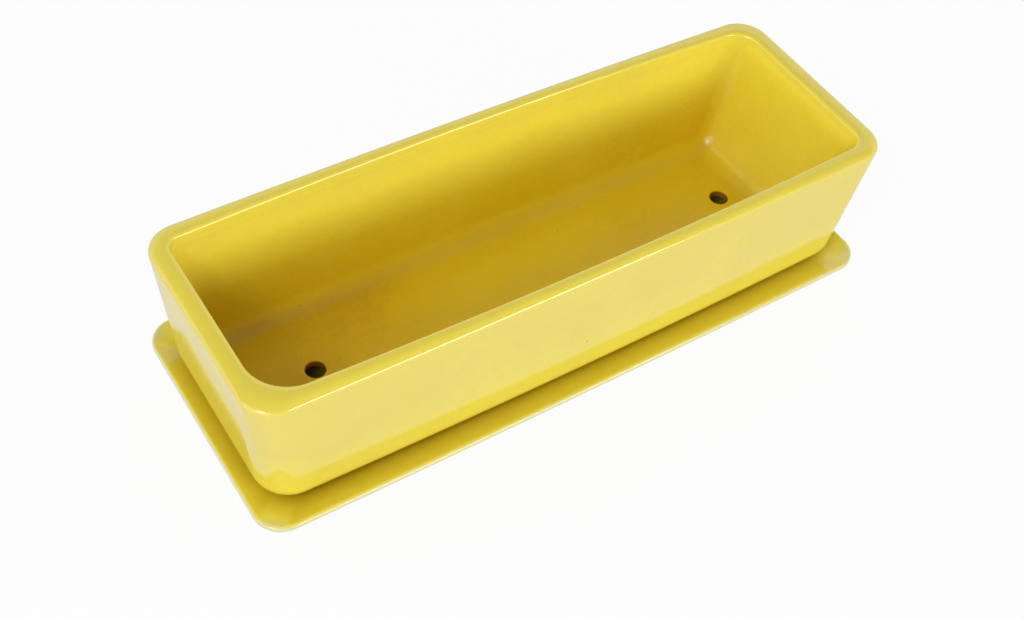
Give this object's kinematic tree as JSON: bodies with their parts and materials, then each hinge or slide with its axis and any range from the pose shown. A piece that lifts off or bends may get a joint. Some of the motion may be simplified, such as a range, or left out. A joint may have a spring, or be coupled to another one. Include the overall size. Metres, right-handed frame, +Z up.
{
  "type": "herb planter with saucer",
  "caption": "Long rectangular glazed ceramic herb trough with drain holes, standing loose in a shallow drip saucer.",
  "frame": {"origin": "centre of the saucer's foot ring, on the surface that the saucer stands on", "axes": "+X along the trough, +Y across it to the back long side, +Z up"},
  "size_m": [0.3556, 0.136, 0.0875],
  "materials": {
    "yellow_glaze": "gloss"
  },
  "bodies": {
    "saucer": {"saucer": "yellow_glaze"},
    "planter": {"planter": "yellow_glaze"}
  },
  "joints": [
    {"name": "planter_lift", "type": "slide", "parent": "saucer", "child": "planter", "axis": [0, 0, 1], "range_m": [0, 0.12]}
  ]
}
